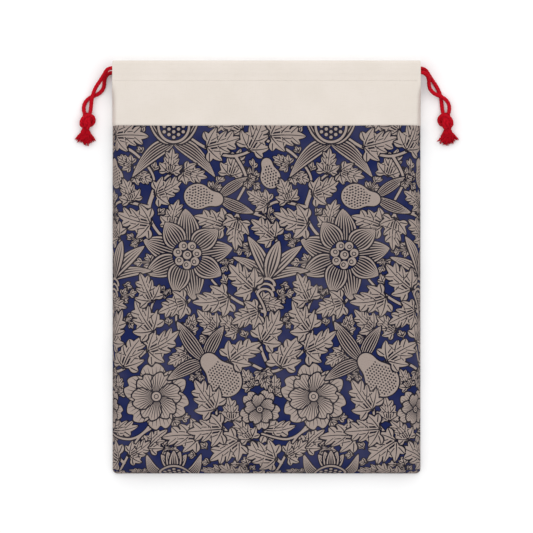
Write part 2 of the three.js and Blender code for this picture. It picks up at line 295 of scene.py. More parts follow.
def tail_route(sign, start_y, start_z, face):
    """From a lane's middle (y, z) inside the casing to the knot."""
    route = UPPER_ROUTE if start_y > sum(LANES) / 2 else LOWER_ROUTE
    lead = [(sign * (SIDE + out), start_y, start_z) for out in (-JOIN, -JOIN / 2, LEAD)]
    return lead + [(sign * (SIDE + out), TOP - down, z) for (out, down), z in zip(route, HEIGHTS[face])]


def bight_route(sign, front, back):
    """The turn from the front run (y, z) to the back run (y, z) at the far side."""
    start = FACING_SIDE + LEAD
    reach = SIDE - start - CORD / 2 - BIGHT_GAP
    points = []
    for degrees in range(0, 181, 30):
        angle = math.radians(degrees)
        share = (1 + math.cos(angle)) / 2
        y, z = (b + (f - b) * share for f, b in zip(front, back))
        points.append((sign * (start + reach * math.sin(angle)), y, z))
    return points


# ---- knots and frayed ends ----

# The middle line of both strands through the knot, in mm: outwards, towards the top edge, up.
KNOT_ROUTE = [
    (0.2, 6.4, -0.8), (0.3, 4.0, -1.4), (0.8, 1.3, -2.1), (2.3, -1.0, -1.7), (3.5, -1.5, 0.0),
    (3.3, 0.2, 1.6), (1.5, 1.9, 2.3), (-1.0, 2.6, 2.2), (-3.2, 1.9, 1.2), (-3.9, -0.2, -0.3),
    (-2.6, -1.9, -1.8), (-0.2, -2.0, -2.2), (1.5, -0.6, -0.6), (0.7, 0.6, 1.4), (0.2, -1.0, 2.5),
    (0.9, -3.2, 1.7), (1.5, -5.0, 0.2),
]
KNOT_LEAN = math.radians(-27)  # how far the knot's body is turned on the floor
KNOT_BODY = 3.6  # the turn fades out this far above and below the knot's middle
STRAND_OFF = 0.46  # each strand lies this many cords from the middle line of both
NECK = (1.3, -3.4, -0.4)  # where the strands leave the knot, from its middle, as in the route
NECK_OFF = 0.36  # each frayed end starts this many cords to its side of the neck
PLIES = 6  # in a frayed end
FIBRES = 10  # in a ply
FLARE_ROOM = 2.4  # the tips spread this much wider than the CAD node
FLARE_LIFT = 3.4  # the outermost tips stop this far short of the innermost ones


def knot_object(name, centre, sign):
    """An overhand knot of two strands that lie side by side all the way through it."""
    x, y, z = np.array(KNOT_ROUTE).T
    lean = KNOT_LEAN * np.exp(-(y / KNOT_BODY) ** 4)
    turned_x = x * np.cos(lean) - y * np.sin(lean)
    turned_y = x * np.sin(lean) + y * np.cos(lean)
    middle, _ = smooth_path(np.stack([turned_x, turned_y, z], axis=1), 0.4)
    along = np.gradient(middle, axis=0)
    across = np.stack([along[:, 1], -along[:, 0], 0 * along[:, 0]], axis=1)
    across /= np.maximum(np.linalg.norm(across, axis=1, keepdims=True), 0.25)
    tubes = []
    for offset, turn in ((-STRAND_OFF, 0.0), (STRAND_OFF, 2.0)):
        strand = (middle + across * offset * CORD) * (sign, 1, 1) + centre
        path, run = with_ends(*smooth_path(strand[::3], 0.35))
        tubes.append((path, run, FULL * CORD / 2, {"sides": 26, "turn": turn}))
    return tubes_object(name, tubes)


def frayed_object(name, node, neck, outer, rng):
    """A cord's loosened end: plies of crimped fibres that hang together, then flare out on the floor.

    outer is the side, -1 or 1 along X, to which the end flares."""
    low, high = box_mm(node)
    tubes = []
    for ply in range(PLIES):
        share = (ply + 0.5) / PLIES
        across = (low[0] + high[0]) / 2 + outer * (share - 0.5) * (high[0] - low[0] + FLARE_ROOM)
        down = low[1] + rng.uniform(-0.3, 0.9) + FLARE_LIFT * share ** 1.6
        tip = np.array([across, down, 1.1 + 1.5 * (ply % 2)])  # every other ply lies higher
        for fibre in range(FIBRES):
            phase = TURN * fibre / FIBRES + rng.uniform(-0.3, 0.3)
            turns = rng.uniform(0.7, 1.3)
            bulk = 0.95 if fibre % 3 else 0.45  # from the ply's middle to the fibre
            length = rng.uniform(0.86, 1.04)
            radius = rng.uniform(0.30, 0.44)
            points = []
            for u in np.linspace(0, 1, 22):
                reach = u * length
                fan = (reach ** 1.9, reach, reach * min(1.0, 0.6 + 0.6 * u))
                axis = neck + (tip - neck) * fan
                bulge = bulk * (0.80 + 0.50 * u)
                angle = phase + TURN * turns * u
                crimp = 0.26 * math.sin(30 * u + 5 * phase)
                x = axis[0] + bulge * math.cos(angle) + crimp
                z = axis[2] + bulge * math.sin(angle) + crimp
                points.append((x, axis[1], max(z, radius + 0.05)))
            path, run = with_ends(*smooth_path(points, 0.45))
            taper = np.interp(np.linspace(0, 1, len(path)), (0, 0.8, 1), (1.0, 1.0, 0.45))
            options = {"sides": 7, "turn": rng.uniform(0, 6), "taper": taper, "laid": False}
            tubes.append((path, run, radius, options))
    return tubes_object(name, tubes)


# ---- materials ----

class Shader:
    """Short calls for building one material's nodes."""

    def __init__(self, name):
        self.material = bpy.data.materials.new(name)
        self.material.use_nodes = True
        self.tree = self.material.node_tree
        self.surface = self.tree.nodes["Principled BSDF"]

    def node(self, kind, settings=None, **inputs):
        """A new node; an input is given by its name, or as i0, i1 or i2 by its number."""
        made = self.tree.nodes.new(kind)
        for key, value in (settings or {}).items():
            setattr(made, key, value)
        for key, value in inputs.items():
            self.plug(made.inputs[int(key[1]) if key in ("i0", "i1", "i2") else key], value)
        return made

    def plug(self, socket, value):
        if isinstance(value, bpy.types.NodeSocket):
            self.tree.links.new(value, socket)
        else:
            socket.default_value = value

    def math(self, operation, a, b=0.0, c=0.0):
        return self.node("ShaderNodeMath", {"operation": operation}, i0=a, i1=b, i2=c).outputs[0]

    def times(self, a, b):
        return self.math("MULTIPLY", a, b)

    def stretched(self, vector, by):
        return self.node("ShaderNodeVectorMath", {"operation": "MULTIPLY"}, i0=vector, i1=by).outputs[0]

    def step(self, value, low, high, start=0.0, end=1.0):
        made = self.node("ShaderNodeMapRange", {"interpolation_type": "SMOOTHSTEP"}, i0=value)
        for slot, number in zip((1, 2, 3, 4), (low, high, start, end)):
            self.plug(made.inputs[slot], number)
        return made.outputs[0]

    def attribute(self, name, output="Fac"):
        return self.node("ShaderNodeAttribute", {"attribute_name": name}).outputs[output]

    def split(self, vector):
        return self.node("ShaderNodeSeparateXYZ", i0=vector).outputs

    def join(self, x, y, z=0.0):
        return self.node("ShaderNodeCombineXYZ", i0=x, i1=y, i2=z).outputs[0]

    def noise(self, vector, scale, detail=2.0, roughness=0.5):
        inputs = {"Vector": vector, "Scale": scale, "Detail": detail, "Roughness": roughness}
        return self.node("ShaderNodeTexNoise", **inputs).outputs[0]

    def mix(self, share, a, b):
        made = self.node("ShaderNodeMix", {"data_type": "RGBA"})
        for slot, value in zip((0, 6, 7), (share, a, b)):
            self.plug(made.inputs[slot], value)
        return made.outputs[2]

    def bump(self, height, strength=0.35, distance=0.00012):
        return self.node("ShaderNodeBump", Height=height, Strength=strength, Distance=distance).outputs[0]

    def finish(self, color, roughness, normal=None, **own):
        self.plug(self.surface.inputs["Base Color"], color)
        self.plug(self.surface.inputs["Roughness"], roughness)
        if normal is not None:
            self.plug(self.surface.inputs["Normal"], normal)
        for key, value in own.items():
            self.surface.inputs[key.replace("_", " ")].default_value = value
        return self.material


# Light from all round and from above, as shares of a full white.
AMBIENT = 0.48
SUN = 0.64
SUN_TILT = math.radians(20)
SUN_SPREAD = math.radians(100)
EXPOSURE = AMBIENT + SUN * math.cos(SUN_TILT)
THREAD_PITCH = 0.46  # mm between threads of the cotton


def linear(value):
    """A screen colour's channel, 0 to 255, as the linear value that shaders take."""
    return ((value / 255 + 0.055) / 1.055) ** 2.4 if value > 10 else value / 255 / 12.92


def lit(*channels):
    """The cloth's own colour, from the colour it shows under this scene's light."""
    return tuple(min(linear(v) / EXPOSURE, 1.0) for v in channels) + (1.0,)


def weave(shader, cloth):
    """Height of a plain weave at a place on the flat cloth, 0 to 1."""
    u, v, _ = shader.split(cloth)
    wobble = shader.noise(cloth, 0.35)
    u = shader.math("ADD", u, shader.times(wobble, 0.25))
    v = shader.math("ADD", v, shader.times(wobble, -0.2))
    across = shader.math("SINE", shader.times(u, math.pi / THREAD_PITCH))
    along = shader.math("SINE", shader.times(v, math.pi / THREAD_PITCH))
    over = shader.math("MULTIPLY_ADD", shader.times(across, along), 0.25, 0.35)
    ribs = shader.times(shader.math("ABSOLUTE", across), shader.math("ABSOLUTE", along))
    return shader.math("MULTIPLY_ADD", ribs, 0.6, over)


def cream_material():
    """Undyed cotton with slubs both ways, soft clouds of tone and painted shade in the weave's hollows."""
    shader = Shader("cream_cotton_look")
    cloth = shader.attribute("cloth", "Vector")
    height = weave(shader, cloth)
    cloud = shader.noise(cloth, 0.03)
    weft = shader.noise(shader.stretched(cloth, (0.15, 2.2, 1)), 1.0, 3.0)
    warp = shader.noise(shader.stretched(cloth, (2.0, 0.12, 1)), 1.0, 3.0)
    color = shader.mix(shader.step(cloud, 0.3, 0.7), lit(235, 226, 217), lit(231, 222, 212))
    color = shader.mix(shader.step(weft, 0.5, 0.8, 0.0, 0.40), color, lit(221, 210, 198))
    color = shader.mix(shader.step(warp, 0.5, 0.8, 0.0, 0.30), color, lit(222, 211, 199))
    # painted shade: the weave's low places are darkened towards a deeper cream
    color = shader.mix(shader.step(height, 0.0, 0.5, 0.22, 0.0), color, lit(205, 192, 178))
    rough = shader.step(weft, 0.2, 0.8, 0.82, 0.93)
    gloss = {"Sheen_Weight": 0.04, "Sheen_Roughness": 0.5, "Specular_IOR_Level": 0.3}
    return shader.finish(color, rough, shader.bump(height), **gloss)


def line_share(shader, distance, half):
    """How far a place is on a line, 0 to 1; a line shows only where its half width is over 0."""
    ratio = shader.math("DIVIDE", distance, shader.math("MAXIMUM", half, 0.001))
    return shader.times(shader.step(ratio, 0.75, 1.25, 1.0, 0.0), shader.step(half, 0.0, 0.04))


def print_material():
    """Block print: a light block over an indigo ground, cut with dark lines; painted shade in the weave's
    hollows.
    """
    shader = Shader("print_cloth_look")
    cloth = shader.attribute("cloth", "Vector")
    height = weave(shader, cloth)
    grit = shader.noise(cloth, 1.7, 3.0, 0.6)
    ragged = shader.math("MULTIPLY_ADD", grit, 0.20, -0.10)
    shape = shader.math("ADD", shader.attribute("block"), ragged)
    printed = shader.step(shape, -0.08, 0.08)
    outline = shader.step(shape, -0.85, -0.60)
    vein = shader.math("ABSOLUTE", shader.attribute("rib"))
    stripe = shader.math("PINGPONG", shader.attribute("phase"), 0.5)
    rib_line = line_share(shader, vein, shader.attribute("rib_width"))
    hatch_line = line_share(shader, stripe, shader.attribute("hatch"))
    dark = shader.math("MAXIMUM", rib_line, hatch_line)
    line_color = lit(20, 18, 33)
    light = shader.mix(shader.step(grit, 0.25, 0.75), lit(153, 138, 131), lit(173, 159, 151))
    ground = shader.mix(shader.step(grit, 0.3, 0.7), lit(19, 29, 74), lit(27, 37, 86))
    ground = shader.mix(outline, ground, line_color)
    block = shader.mix(dark, light, line_color)
    color = shader.mix(printed, ground, block)
    # painted shade: the weave's low places are darkened towards near black
    color = shader.mix(shader.step(height, 0.0, 0.5, 0.16, 0.0), color, lit(20, 20, 34))
    cloud = shader.noise(cloth, 0.035)
    color = shader.mix(shader.step(cloud, 0.35, 0.75, 0.0, 0.06), color, lit(190, 176, 164))
    rough = shader.step(grit, 0.2, 0.8, 0.84, 0.95)
    gloss = {"Sheen_Weight": 0.0, "Specular_IOR_Level": 0.12}
    return shader.finish(color, rough, shader.bump(height), **gloss)


def cord_material():
    """Red cotton: fine fibres lie along each strand; painted shade darkens the grooves and the hollows
    between plies.
    """
    shader = Shader("red_cord_look")
    around, along, depth = shader.split(shader.attribute("yarn", "Vector"))
    fibre_place = shader.join(shader.times(around, 26.0), shader.times(along, 0.7))
    fibres = shader.noise(fibre_place, 1.0, 3.0, 0.6)
    ply_place = shader.math("ADD", shader.times(around, 62.0), shader.times(along, 5.5))
    plies = shader.math("SINE", ply_place)
    tone = shader.mix(shader.step(fibres, 0.3, 0.72), lit(180, 0, 22), lit(214, 8, 36))
    # painted shade: darker in the hollows between plies, where the bump is low
    tone = shader.mix(shader.step(plies, -1.0, 0.2, 0.35, 0.0), tone, lit(150, 0, 16))
    # painted shade: darker in the grooves between the strands
    tone = shader.mix(shader.step(depth, 0.0, 0.6, 0.75, 0.0), tone, lit(104, 0, 8))
    height = shader.math("ADD", shader.times(fibres, 0.6), shader.times(plies, 0.25))
    rough = shader.step(fibres, 0.2, 0.8, 0.7, 0.88)
    gloss = {"Sheen_Weight": 0.01, "Sheen_Roughness": 0.4, "Specular_IOR_Level": 0.12}
    return shader.finish(tone, rough, shader.bump(height, 0.7, 0.00018), **gloss)


def lining_material():
    """The wrong side of the print, where the ink hardly shows."""
    shader = Shader("print_wrong_side_look")
    cloth = shader.attribute("cloth", "Vector")
    height = weave(shader, cloth)
    cloud = shader.noise(cloth, 0.12, 3.0)
    color = shader.mix(shader.step(cloud, 0.35, 0.65), lit(150, 142, 146), lit(178, 168, 164))
    return shader.finish(color, shader.step(cloud, 0.2, 0.8, 0.85, 0.95), shader.bump(height))


def thread_material():
    """Sewing thread, with its twist painted darker in its grooves and lighter on its crests: painted shade
    and highlight.
    """
    shader = Shader("thread_look")
    u, v, _ = shader.split(shader.attribute("cloth", "Vector"))
    twist = shader.math("SINE", shader.math("MULTIPLY_ADD", u, 9.0, shader.times(v, 6.0)))
    # painted shade and highlight: darker in the twist's grooves, lighter on its crests
    color = shader.mix(shader.step(twist, -1.0, 1.0), lit(231, 222, 212), lit(240, 232, 223))
    rough = shader.step(twist, -1.0, 1.0, 0.7, 0.85)
    return shader.finish(color, rough, shader.bump(twist, 0.4, 0.0001), Sheen_Weight=0.1)


def floor_material():
    shader = Shader("floor_look")
    place = shader.node("ShaderNodeTexCoord").outputs["Object"]
    tone = shader.noise(place, 1.5)
    color = shader.mix(shader.step(tone, 0.3, 0.7), (0.965, 0.965, 0.968, 1), (0.975, 0.975, 0.978, 1))
    return shader.finish(color, 0.9, Specular_IOR_Level=0.0)


# ---- the block print's tile ----

CELL = 0.6  # mm between the points that hold the print
REPEAT = (117.0, 264.0)  # width and height of the print's repeat
OUTLINE = 1.0  # gap between neighbouring motifs
FAR = 3.0  # distances are kept no larger than this


class BlockPrint:
    """One repeat of a block print, as smooth fields on a grid of cells.

    block is the distance inside the light block; rib and rib_width are the distance from
    a dark line and its half width; phase and hatch are the place across dark stripes,
    counted in stripes, and the stripes' half width as a share of their pitch.
    """

    def __init__(self, seed):
        self.nx = round(REPEAT[0] / CELL)
        self.ny = round(REPEAT[1] / CELL)
        self.rng = np.random.default_rng(seed)
        self.no_lines = {"rib": FAR, "rib_width": 0.0, "phase": 0.5, "hatch": 0.0}
        blanks = {"block": -FAR, **self.no_lines}
        size = (self.ny, self.nx)
        self.fields = {key: np.full(size, v, np.float32) for key, v in blanks.items()}
        self.block = self.fields["block"]
        self.stems = np.full(size, -FAR, np.float32)

    def window(self, x, y, radius):
        """Cells within radius of a point, and their places from it."""
        ix = np.arange(math.floor((x - radius) / CELL), math.ceil((x + radius) / CELL) + 1)
        iy = np.arange(math.floor((y - radius) / CELL), math.ceil((y + radius) / CELL) + 1)
        px, py = np.meshgrid(ix * CELL - x, iy * CELL - y)
        return np.ix_(iy % self.ny, ix % self.nx), px, py

    def draw(self, cells, block, over, lines):
        """Sets the block, and a motif's own lines or none where over is true."""
        self.block[cells] = np.clip(block, -FAR, FAR)
        for key, blank in self.no_lines.items():
            field = self.fields[key]
            field[cells] = np.where(over, lines.get(key, blank), field[cells])

    def add(self, cells, inside, gap=OUTLINE, **lines):
        """Prints a motif over what is there, with a gap round it."""
        below = np.minimum(self.block[cells], -(inside + gap))
        self.draw(cells, np.maximum(below, inside), inside > -gap / 2, lines)

    def add_behind(self, cells, inside, **lines):
        """Prints a motif behind what is there, so that only its free part shows."""
        before = self.block[cells]
        seen = np.minimum(inside, -(before + OUTLINE))
        over = (seen > -OUTLINE / 2) & (before < -OUTLINE / 2)
        self.draw(cells, np.maximum(before, seen), over, lines)

    def carve(self, cells, inside):
        """Takes a shape out of the block."""
        self.block[cells] = np.clip(np.minimum(self.block[cells], -inside), -FAR, FAR)

    def taken(self, x, y, room):
        """Whether a point is on the block, or nearer to it than room."""
        return self.block[round(y / CELL) % self.ny, round(x / CELL) % self.nx] > -room

    def crowded(self, cells, inside):
        """Share of a motif that would fall on what is already printed."""
        covered = inside > -OUTLINE * 0.6
        return (self.block[cells][covered] > -0.15).mean() if covered.any() else 1.0


def clear_jumps(art):
    """Hides the line that would show where the nearest vein changes and the distance jumps over zero."""
    rib, width = art.fields["rib"], art.fields["rib_width"]
    for axis in (0, 1):
        beyond = np.roll(rib, -1, axis)
        jump = (rib * beyond < 0) & (np.abs(rib - beyond) > 1.6 * CELL)
        width[jump | np.roll(jump, 1, axis)] = -0.3


def turned(px, py, angle):
    """Places along and across a direction."""
    c, s = math.cos(angle), math.sin(angle)
    return c * px + s * py, -s * px + c * py


def swell(u, full):
    """Half width along a blade, 0 to 1."""
    return np.sin(np.pi * np.clip(u, 0, 1) ** full) ** 0.75


def blade(s, t, length, half, full=0.8):
    """Distance inside a pointed blade that lies along +s."""
    edge = half * swell(s / length, full)
    beyond = np.maximum(-s, s - length)
    return np.where(beyond > 0, -np.hypot(beyond, np.abs(t)), (edge - np.abs(t)) * 0.85)


def trefoil(s, t, length):
    """Distance inside a lobe of three rounded lobules, and the distance from the nearest one's vein."""
    inside, rib = blade(s, t, length, 0.17 * length, full=1.2), t
    for side in (-1, 1):
        ls, lt = turned(s - 0.22 * length, t, side * math.radians(42))
        d = blade(ls, lt, 0.62 * length, 0.145 * length, full=1.25)
        over = d > inside
        inside = np.where(over, d, inside)
        rib = np.where(over, -lt, rib)  # minus, so that the sign stays where two lobules meet
    return inside, rib


def lobed_leaf(s, t, length, pairs):
    """Of a lobed leaf: distance inside, distance from the nearest vein, and how near that vein's root."""
    tip = 0.42 if pairs else 0.0
    inside, rib = trefoil(s - tip * length, t, (1 - tip) * length)
    inside = np.maximum(inside, blade(s, t, 0.8 * length, 0.055 * length))
    reach = np.clip(1 - s / (0.86 * length), 0, 1)
    for side in (-1, 1):
        for k in range(pairs):
            lobe = length * (0.56 - 0.12 * k)
            ls, lt = turned(s - length * (0.04 + 0.26 * k), t, side * math.radians(66 - 12 * k))
            lt = lt + side * 0.22 * ls * ls / lobe
            d, lobe_rib = trefoil(ls, lt, lobe)
            lobe_rib = lobe_rib * (-1) ** (pairs - k)
            over = d > inside
            inside = np.where(over, d, inside)
            rib = np.where(over, lobe_rib, rib)
            reach = np.where(over, np.clip(1 - ls / (0.82 * lobe), 0, 1), reach)
    on_stalk = (np.abs(t) < np.abs(rib)) & (s > 0) & (s < 0.85 * length)
    return inside, np.where(on_stalk, np.copysign(t, rib), rib), reach


def leaf(art, x, y, angle, length, bend, limit, behind):
    """Prints a leaf where there is room for it, over or behind what is there."""
    cos, sin = math.cos(angle), math.sin(angle)
    for share in (0.55, 0.85) if behind else (0.25, 0.55, 0.85):
        room = OUTLINE + 0.1 * length * share * (1 - share)
        if art.taken(x + share * length * cos, y + share * length * sin, room):
            return False
    mx, my = x + 0.5 * length * cos, y + 0.5 * length * sin
    cells, px, py = art.window(mx, my, 0.68 * length + 2)
    s, t = turned(px + mx - x, py + my - y, angle)
    t = t - bend * s * s / length
    pairs = 2 if length > 14 else 1 if length > 9 else 0
    inside, rib, reach = lobed_leaf(s, t, length, pairs)
    if art.crowded(cells, inside) > limit:
        return False
    place = art.add_behind if behind else art.add
    place(cells, inside, rib=rib, rib_width=0.25 + 0.25 * reach)
    return True


def striped_blade(art, cells, px, py, angle, length, half, stripes, bend=0.0, full=0.8, fade=0.5):
    """A petal or strap leaf with dark stripes that thin out towards its tip."""
    s, t = turned(px, py, angle)
    t = t - bend * s * s / length
    u = np.clip(s / length, 0, 1)
    wide = half * np.maximum(swell(u, full), 0.25)
    hatch = 0.32 * np.clip((1 - u) / fade, 0, 1) ** 0.7 * (np.abs(t) < wide - 0.6)
    art.add(cells, blade(s, t, length, half, full=full), phase=t / wide * stripes / 2, hatch=hatch)


def round_petal(art, cells, px, py, angle, radius, reach):
    """A round petal with a notch in its edge and dark rays from its root."""
    s, t = turned(px, py, angle)
    notch = 0.14 * radius * np.exp(-(t / (0.1 * radius)) ** 2) * (s > reach * radius)
    inside = 0.42 * radius - np.hypot((s - reach * radius) * 0.92, t) - notch
    inside = np.minimum(inside, 0.12 * radius + 0.6 * np.maximum(s, 0) - np.abs(t))
    phase = np.arctan2(t, np.maximum(s, 0.01)) * 7
    art.add(cells, inside, phase=phase, hatch=0.32 * np.clip(1.28 - s / (0.80 * radius), 0, 1))


def big_flower(art, x, y, radius, petals, tilt):
    """A flower of pointed striped petals round a cluster of curls."""
    cells, px, py = art.window(x, y, radius * 1.3)
    inner = 0.22 * radius
    for k in list(range(0, petals, 2)) + list(range(1, petals, 2)):
        angle = tilt + TURN * k / petals
        length = radius * (1 + 0.10 * math.sin(3.1 * k + 1)) - inner
        qx, qy = px - inner * math.cos(angle), py - inner * math.sin(angle)
        bend = 0.16 * math.sin(2.3 * k + 0.6)
        striped_blade(art, cells, qx, qy, angle, length, 2.35 * radius / petals, 8, bend)
    art.carve(cells, 0.36 * radius - np.hypot(px, py))
    for distance, count, size in ((0.0, 1, 0.10), (0.235 * radius, 7, 0.098)):
        for i in range(count):
            angle = tilt + TURN * i / count
            qx, qy = px - distance * math.cos(angle), py - distance * math.sin(angle)
            r = np.hypot(qx, qy)
            curl = r - 0.42 * size * radius * (1 + 0.5 * np.cos(np.arctan2(qy, qx) - angle - 2))
            art.add(cells, size * radius - r, gap=0.5, rib=curl, rib_width=0.34)


def round_flower(art, x, y, radius, tilt, petals=5):
    """A flower of two rings of round petals."""
    cells, px, py = art.window(x, y, radius * 1.3)
    for shift, size, reach in ((0.5, 1.16, 0.66), (0.0, 0.92, 0.58)):
        for k in range(petals):
            round_petal(art, cells, px, py, tilt + TURN * (k + shift) / petals, radius * size, reach)
    r = np.hypot(px, py)
    art.add(cells, 0.17 * radius - r, rib=r - 0.08 * radius, rib_width=0.3)


def seeded_fruit(art, x, y, size, tilt):
    """A cut fruit full of seeds, held by striped bracts."""
    cells, px, py = art.window(x, y, size * 3.4)
    s, t = turned(px, py, tilt)
    bracts = ((2.9, 1.75, 0.50, 0.55), (3.0, 0.95, 0.50, -0.42), (2.0, 0.52, 0.36, -0.3))
    root = s + 1.05 * size
    for side in (-1, 1):
        for reach, lean, half, curve in bracts:
            striped_blade(art, cells, root, t, side * lean, reach * size, half * size, 6, side * curve)
    for lean in (-0.62, 0.62, -0.30, 0.30, 0.0):
        striped_blade(art, cells, s - 0.6 * size, t, lean, 1.35 * size, 0.27 * size, 4)
    r = np.hypot(s, t * 1.02)
    art.add(cells, size * 1.04 - r)
    art.carve(cells, size * 0.90 - r)
    pitch = 0.34 * size
    for i in range(-3, 4):
        for j in range(-3, 4):
            cs, ct = (i + 0.5 * (j % 2)) * pitch, j * pitch * 0.87
            if math.hypot(cs, ct) < 0.74 * size:
                art.add(cells, 0.105 * size - np.hypot(s - cs, t - ct), gap=0.0)


def stippled_fruit(art, x, y, size, tilt, straps):
    """A pear, stippled over its belly, with striped leaves that spread from its stalk end."""
    cells, px, py = art.window(x, y, size * 3.9)
    s, t = turned(px, py, tilt)
    for lean, reach, half, curve in straps:
        striped_blade(art, cells, s - 1.1 * size, t, lean, reach * size, half * size, 5, curve, 0.9, 0.3)
    belly = 0.66 * size - np.hypot(s * 0.9, t)
    neck = 0.34 * size - np.hypot(s - 1.0 * size, t - 0.1 * size)
    k = 0.5 * size
    h = np.clip(0.5 + 0.5 * (belly - neck) / k, 0, 1)
    inside = neck + (belly - neck) * h + k * h * (1 - h)
    art.add(cells, inside)
    count = int(size / 1.2)
    for i in range(-count, count):
        for j in range(-count, count):
            cs = i * 2.1 + 0.3 * math.sin(5.1 * j)
            ct = (j + 0.5 * (i % 2)) * 2.1 + 0.3 * math.sin(3.7 * i)
            if cs < 0.8 * size and math.hypot(cs, ct) < 1.1 * size:
                dot = 0.62 - np.hypot((s - cs) * 0.8, t - ct)
                art.carve(cells, np.where(inside > 1.0, dot, -FAR))


def tulip(art, x, y, size, tilt):
    """A half open flower over a ringed calyx."""
    cells, px, py = art.window(x, y, size * 1.5)
    s, t = turned(px, py, tilt)
    petals = (
        (-0.75, 0.95, 0.13, -0.45), (0.75, 0.95, 0.13, 0.45), (-0.36, 1.15, 0.15, -0.25),
        (0.36, 1.15, 0.15, 0.25), (0.0, 1.0, 0.17, 0.1),
    )
    for lean, reach, half, curve in petals:
        striped_blade(art, cells, s, t, lean, reach * size, half * size, 4, curve, 1.0, 0.8)
    for k in range(3):
        r = np.hypot(s + (0.12 + 0.13 * k) * size, t * 0.8)
        ring = 0.75 - np.abs(r - 0.15 * size)
        art.add(cells, np.where(s > -(0.12 + 0.13 * k) * size, ring, -FAR), gap=0.4)


def stem(art, points, half):
    """A tapering stem on a smooth curve through points; gives the curve."""
    curve = np.array(spline(np.array(points[:1] + points + points[-1:], float), 22))
    for i, (a, b) in enumerate(zip(curve, curve[1:])):
        cells, px, py = art.window(*a, 4.0)
        d = b - a
        u = np.clip((px * d[0] + py * d[1]) / (d @ d + 1e-9), 0, 1)
        inside = half * (1 - 0.45 * i / len(curve)) - np.hypot(px - u * d[0], py - u * d[1])
        art.stems[cells] = np.maximum(art.stems[cells], inside)
    return curve


def draw_print():
    """The whole repeat: stems, flowers and fruit, then leaves in the room that is left."""
    art = BlockPrint(seed=7)
    stem_points = [
        [(94, 50), (70, 34), (48, 28), (26, 40), (14, 64), (2, 84), (-14, 96), (-10, 112)],
        [(14, 64), (30, 78), (50, 84), (62, 100), (60, 122), (64, 136)],
        [(107, 113), (112, 92), (126, 82), (146, 86)],
        [(64, 136), (44, 140), (22, 132), (6, 140), (-8, 156), (-6, 178), (-12, 190)],
        [(22, 132), (30, 154), (26, 176), (34, 196), (26, 208)],
        [(26, 176), (46, 184), (62, 196), (70, 206)],
        [(84, 218), (80, 190), (92, 174), (88, 158)],
        [(84, 218), (106, 236), (112, 254), (100, 276), (76, 286), (58, 300)],
        [(112, 254), (134, 258), (150, 250), (166, 256)],
        [(48, 28), (40, 10), (48, -10), (40, -26)],
        [(26, 40), (6, 30), (-8, 12), (-4, -8)],
        [(34, 196), (18, 222), (24, 244), (44, 250), (52, 240)],
    ]
    curves = [stem(art, p, 1.0) for p in stem_points]
    art.add(np.s_[:], art.stems)
    big_flower(art, 84, 218.5, 31.5, 9, 0.25)
    seeded_fruit(art, 94, 50, 12.0, math.pi / 2)
    round_flower(art, 107, 113.5, 19.5, 0.9, 6)
    three_leaves = ((-1.0, 1.7, 0.26, -0.2), (1.1, 1.6, 0.26, 0.2), (0.1, 2.0, 0.28, 0.1))
    two_leaves = ((-0.8, 1.9, 0.26, 0.15), (0.5, 2.0, 0.28, -0.15))
    stippled_fruit(art, 56, 126, 18.0, 0.75, three_leaves)
    stippled_fruit(art, 76, 262, 14.0, 3.2, two_leaves)
    tulip(art, 24, 200, 30.0, 1.75)
    round_flower(art, 30, 104, 12.0, 0.2)
    stippled_fruit(art, 22, 12, 11.0, 1.2, ())
    # leaves grow off the stems, then fill what is left, the larger ones first
    for curve in curves:
        for i in range(5, len(curve) - 4, 8):
            heading = math.atan2(*(curve[i + 1] - curve[i - 1])[::-1])
            for side in (-1, 1):
                for length in (27, 23, 19, 15, 12):
                    angle = heading + side * art.rng.uniform(0.5, 1.05)
                    root = curve[i] + 0.8 * np.array([math.cos(angle), math.sin(angle)])
                    if leaf(art, *root, angle, length, side * art.rng.uniform(-0.35, 0.15), 0.12, False):
                        break
    sizes = (
        (26, 900, 0.22), (21, 1500, 0.25), (17, 2200, 0.27),
        (13.5, 3000, 0.25), (10.5, 3000, 0.18), (7.5, 2500, 0.06),
    )
    for length, tries, hidden in sizes:
        for _ in range(tries):
            x, y = art.rng.uniform(0, REPEAT[0]), art.rng.uniform(0, REPEAT[1])
            flow = 1.2 + 1.1 * math.sin(TURN * x / REPEAT[0] + 1)
            flow += 1.3 * math.cos(3 * TURN * y / REPEAT[1])
            angle = flow + art.rng.normal(0, 0.8)
            size = length * art.rng.uniform(0.88, 1.12)
            leaf(art, x, y, angle, size, art.rng.uniform(-0.35, 0.35), hidden, True)
    clear_jumps(art)
    return art


# ---- the shape of the lying cloth ----

BODY_END = 92  # y from which the body's cloth climbs to the casing
BODY_DROP = 1.2  # the body lies this much lower than the casing
CURL = 7  # width of the back's curl at its seams
TURN_IN = (0.28, 2.2)  # how far in from a panel's edge its two turned-under rings lie
TUCK = (1.6, 0.75)  # how far a panel's top row runs on under the band, and how far in it lies


def rise(distance, reach):
    """0 at a seam to 1 where the cloth has reached the crown."""
    return 1 - (1 - np.clip(distance / reach, 0, 1)) ** 4


def ease(value, low, high):
    """0 at low to 1 at high, with soft ends."""
    u = np.clip((value - low) / (high - low), 0, 1)
    return u * u * (3 - 2 * u)


def ripple(x, y):
    """Soft unevenness of the cloth, in mm, the same everywhere it is asked for."""
    waves = (
        (0.021, 0.013, 0.3, 0.50), (-0.017, 0.027, 1.9, 0.42), (0.038, -0.022, 4.1, 0.24),
        (0.049, 0.041, 2.2, 0.16), (-0.062, 0.035, 5.0, 0.12), (0.016, 0.071, 0.8, 0.12),
    )
    return sum(a * np.sin(math.pi * (fx * x + fy * y) + p) for fx, fy, p, a in waves)


def puckers(s, d):
    """Small gathers square to a seam: s runs along it and d is the distance from it."""
    wave = np.sin(TURN * s / 7.3 + 1.5 * np.sin(s / 23.0)) * (0.6 + 0.4 * np.sin(s / 11.0))
    return 0.16 * wave * np.exp(-np.maximum(d, 0) / 9.0)


